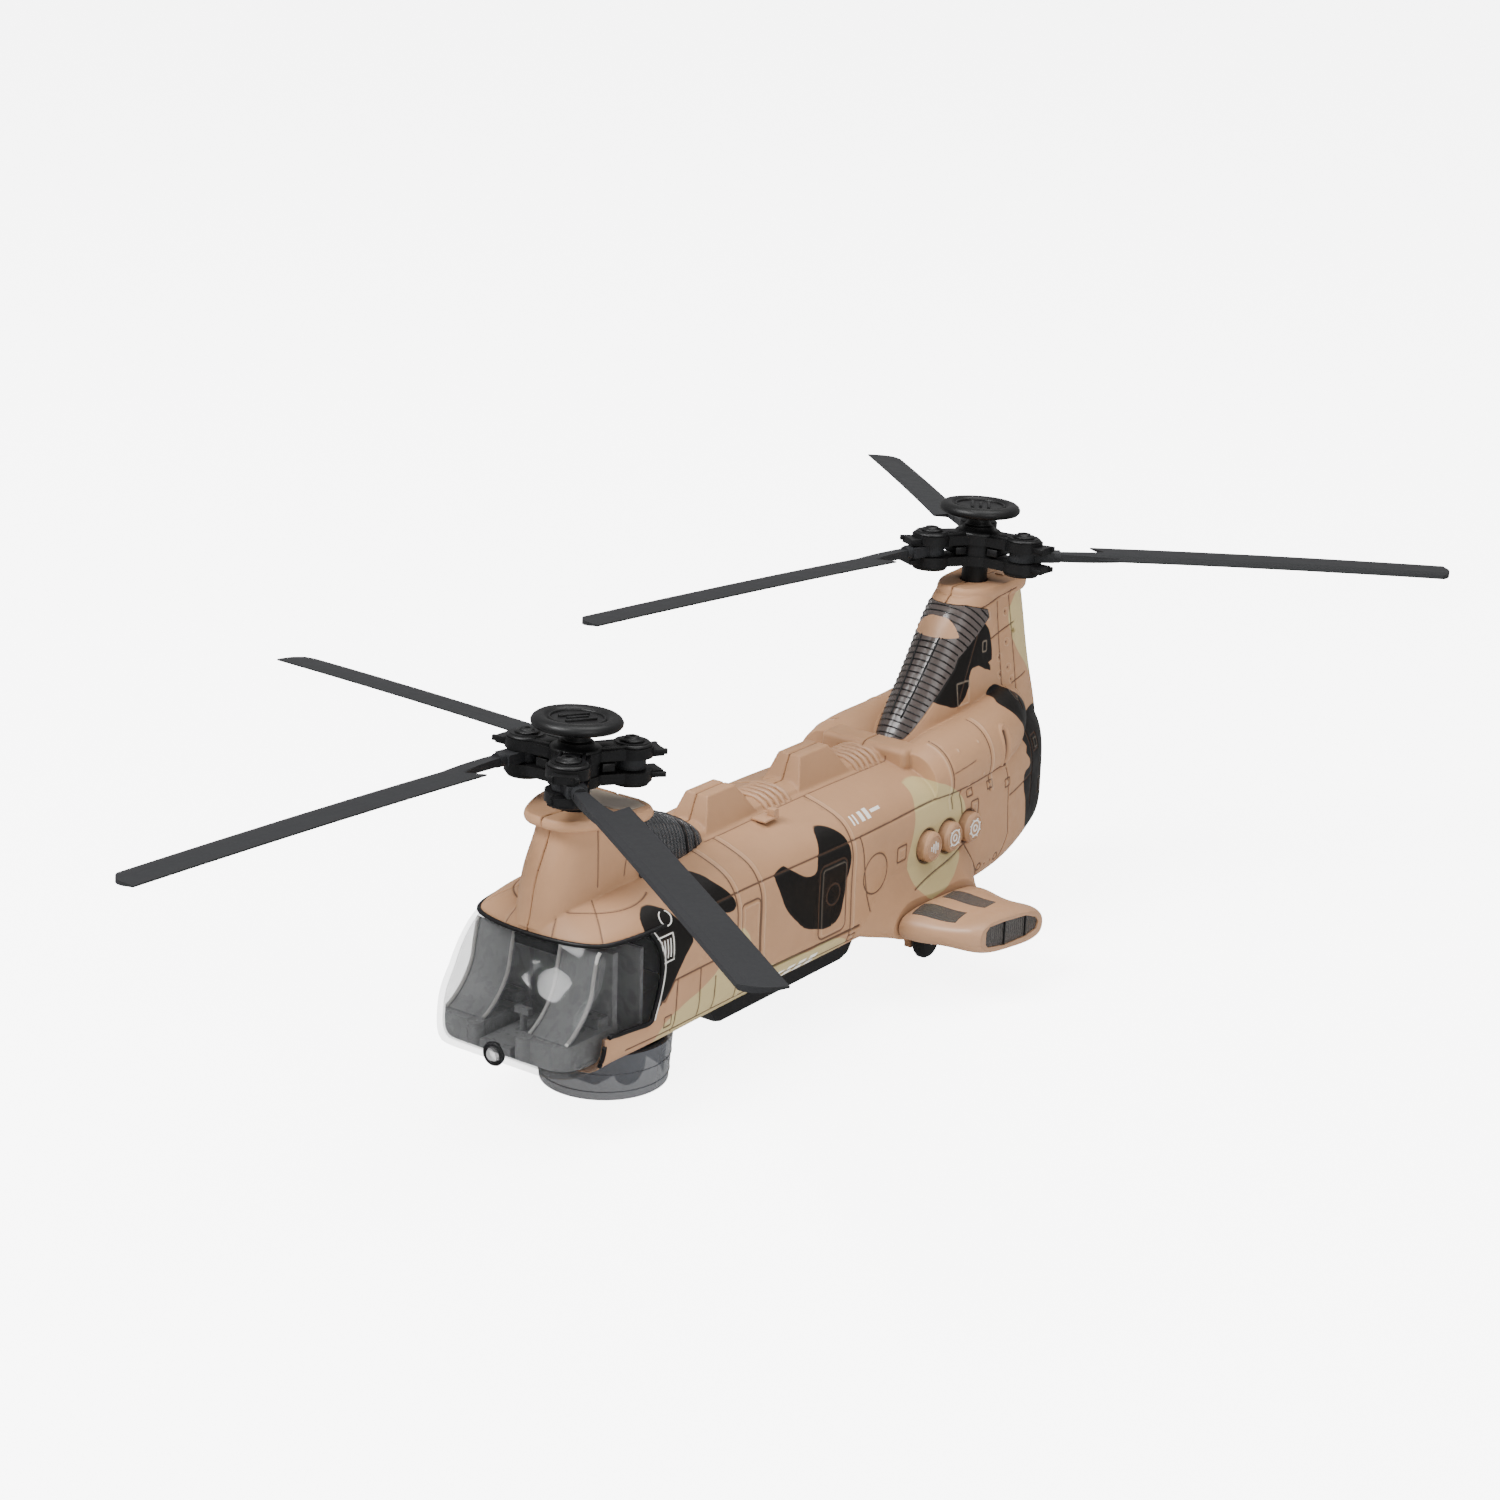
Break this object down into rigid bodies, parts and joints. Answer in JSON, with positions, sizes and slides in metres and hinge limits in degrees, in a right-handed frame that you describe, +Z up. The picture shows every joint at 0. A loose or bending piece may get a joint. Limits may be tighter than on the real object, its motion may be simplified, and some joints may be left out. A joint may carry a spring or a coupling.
{
  "type": "toy helicopter",
  "caption": "Tandem-rotor toy helicopter with folding blades, clear nose, stub wings, push buttons and a swivelling drive turret",
  "frame": {"origin": "centre of the flat underside of the battery box, half way along the fuselage; the turret and wheels reach below it", "axes": "+X to the port side, -Y towards the nose, +Z up"},
  "size_m": [0.3868, 0.6548, 0.1857],
  "materials": {
    "camo_plastic": "satin moulded plastic, tan with dark brown and khaki camouflage paint",
    "tan_plastic": "satin tan moulded plastic",
    "black_plastic": "satin black moulded plastic with fine grain",
    "smoke_clear": "clear grey-smoke moulded plastic",
    "smoke_brown": "dark brown-smoke translucent plastic",
    "blue_grey_clear": "translucent blue-grey moulded plastic",
    "silver_plastic": "silver-grey painted plastic",
    "steel": "bright plated steel",
    "motor_can": "zinc plated steel can",
    "white_plastic": "natural white acetal",
    "tyre_black": "soft black rubber",
    "circuit_green": "solder-masked board",
    "cell_wrap": "printed cell sleeve, plain",
    "lamp_red": "small clear lamp lens"
  },
  "bodies": {
    "fuselage": {"fuselage_shell_port": "camo_plastic", "fuselage_shell_starboard": "camo_plastic", "canopy_windshield": "smoke_clear", "tail_window": "smoke_brown", "tail_window_panel": "tan_plastic", "front_pylon_window": "smoke_brown", "front_pylon_hatch": "silver_plastic", "sponson_port": "tan_plastic", "sponson_starboard": "tan_plastic", "sponson_lenses_port": "smoke_brown", "sponson_lenses_starboard": "smoke_brown", "cockpit_tray": "silver_plastic", "nose_lamp_lens": "lamp_red", "front_rotor_bush": "white_plastic", "rear_rotor_bush": "white_plastic", "front_motor": "motor_can", "rear_motor": "motor_can", "front_gear_plate": "black_plastic", "rear_gear_plate": "black_plastic", "battery_box": "black_plastic", "battery_door": "black_plastic", "battery_cells": "cell_wrap", "battery_contacts": "steel", "battery_door_screw": "steel", "circuit_board": "circuit_green", "speaker": "black_plastic", "shell_screws": "steel"},
    "front_rotor": {"front_hub_lower_plate": "black_plastic", "front_hub_upper_plate": "black_plastic", "front_hub_knob": "black_plastic", "front_rotor_shaft": "steel", "front_pivot_screws": "steel", "front_rotor_gear": "white_plastic"},
    "front_pinion": {"front_motor_pinion": "white_plastic"},
    "front_blade_1": {"front_blade_1": "black_plastic"},
    "front_blade_2": {"front_blade_2": "black_plastic"},
    "front_blade_3": {"front_blade_3": "black_plastic"},
    "rear_rotor": {"rear_hub_lower_plate": "black_plastic", "rear_hub_upper_plate": "black_plastic", "rear_hub_knob": "black_plastic", "rear_rotor_shaft": "steel", "rear_pivot_screws": "steel", "rear_rotor_gear": "white_plastic"},
    "rear_pinion": {"rear_motor_pinion": "white_plastic"},
    "rear_blade_1": {"rear_blade_1": "black_plastic"},
    "rear_blade_2": {"rear_blade_2": "black_plastic"},
    "rear_blade_3": {"rear_blade_3": "black_plastic"},
    "turret": {"turret_base": "black_plastic", "turret_ring": "blue_grey_clear", "turret_gearbox": "black_plastic"},
    "drive_wheels": {"drive_axle": "steel", "drive_wheel_port": "tyre_black", "drive_wheel_starboard": "tyre_black"},
    "rear_wheels": {"rear_axle": "steel", "rear_wheel_port": "tyre_black", "rear_wheel_starboard": "tyre_black"},
    "button_sound": {"button_sound": "tan_plastic"},
    "button_light": {"button_light": "tan_plastic"},
    "button_mode": {"button_mode": "tan_plastic"},
    "power_switch": {"power_switch": "black_plastic"}
  },
  "joints": [
    {"name": "front_rotor_spin", "type": "hinge", "parent": "fuselage", "child": "front_rotor", "pos_m": [0, -0.10037, 0.11801], "axis": [0, 0.061, 0.9981], "continuous": true},
    {"name": "front_pinion_spin", "type": "hinge", "parent": "fuselage", "child": "front_pinion", "pos_m": [0, -0.08591, 0.05952], "axis": [0, 0.061, 0.9981], "continuous": true},
    {"name": "front_blade_1_fold", "type": "hinge", "parent": "front_rotor", "child": "front_blade_1", "pos_m": [0.01088, -0.07969, 0.11675], "axis": [0, 0.061, 0.9981], "range_deg": [-113.7, 3.3]},
    {"name": "front_blade_2_fold", "type": "hinge", "parent": "front_rotor", "child": "front_blade_2", "pos_m": [-0.02338, -0.1013, 0.11807], "axis": [0, 0.061, 0.9981], "range_deg": [-89.6, 27.4]},
    {"name": "front_blade_3_fold", "type": "hinge", "parent": "front_rotor", "child": "front_blade_3", "pos_m": [0.0125, -0.12011, 0.11922], "axis": [0, 0.061, 0.9981], "range_deg": [-28.6, 88.4]},
    {"name": "rear_rotor_spin", "type": "hinge", "parent": "fuselage", "child": "rear_rotor", "pos_m": [0, 0.18093, 0.14621], "axis": [0, 0.061, 0.9981], "continuous": true},
    {"name": "rear_pinion_spin", "type": "hinge", "parent": "fuselage", "child": "rear_pinion", "pos_m": [0, 0.19367, 0.05957], "axis": [0, 0.061, 0.9981], "continuous": true},
    {"name": "rear_blade_1_fold", "type": "hinge", "parent": "rear_rotor", "child": "rear_blade_1", "pos_m": [-0.0124, 0.20074, 0.145], "axis": [0, 0.061, 0.9981], "range_deg": [-17.3, 99.7]},
    {"name": "rear_blade_2_fold", "type": "hinge", "parent": "rear_rotor", "child": "rear_blade_2", "pos_m": [-0.01099, 0.16031, 0.14747], "axis": [0, 0.061, 0.9981], "range_deg": [-23.2, 93.8]},
    {"name": "rear_blade_3_fold", "type": "hinge", "parent": "rear_rotor", "child": "rear_blade_3", "pos_m": [0.02339, 0.18175, 0.14616], "axis": [0, 0.061, 0.9981], "range_deg": [-52, 65]},
    {"name": "turret_swivel", "type": "hinge", "parent": "fuselage", "child": "turret", "pos_m": [0, -0.08, 0], "axis": [0, 0, 1], "continuous": true},
    {"name": "drive_axle_roll", "type": "hinge", "parent": "turret", "child": "drive_wheels", "pos_m": [0, -0.08, -0.01], "axis": [1, 0, 0], "continuous": true},
    {"name": "rear_axle_roll", "type": "hinge", "parent": "fuselage", "child": "rear_wheels", "pos_m": [0, 0.106, -0.0105], "axis": [1, 0, 0], "continuous": true},
    {"name": "button_sound_press", "type": "slide", "parent": "fuselage", "child": "button_sound", "axis": [-1, 0, 0], "range_m": [0, 0.0015], "stiffness_N_per_m": 300, "springref_m": -0.001},
    {"name": "button_light_press", "type": "slide", "parent": "fuselage", "child": "button_light", "axis": [-1, 0, 0], "range_m": [0, 0.0015], "stiffness_N_per_m": 300, "springref_m": -0.001},
    {"name": "button_mode_press", "type": "slide", "parent": "fuselage", "child": "button_mode", "axis": [-1, 0, 0], "range_m": [0, 0.0015], "stiffness_N_per_m": 300, "springref_m": -0.001},
    {"name": "power_switch_slide", "type": "slide", "parent": "fuselage", "child": "power_switch", "axis": [1, 0, 0], "range_m": [0, 0.005]}
  ],
  "couplings": [
    {"joint": "front_pinion_spin", "follows": "front_rotor_spin", "ratio": -2.6},
    {"joint": "rear_pinion_spin", "follows": "rear_rotor_spin", "ratio": -2.6}
  ]
}
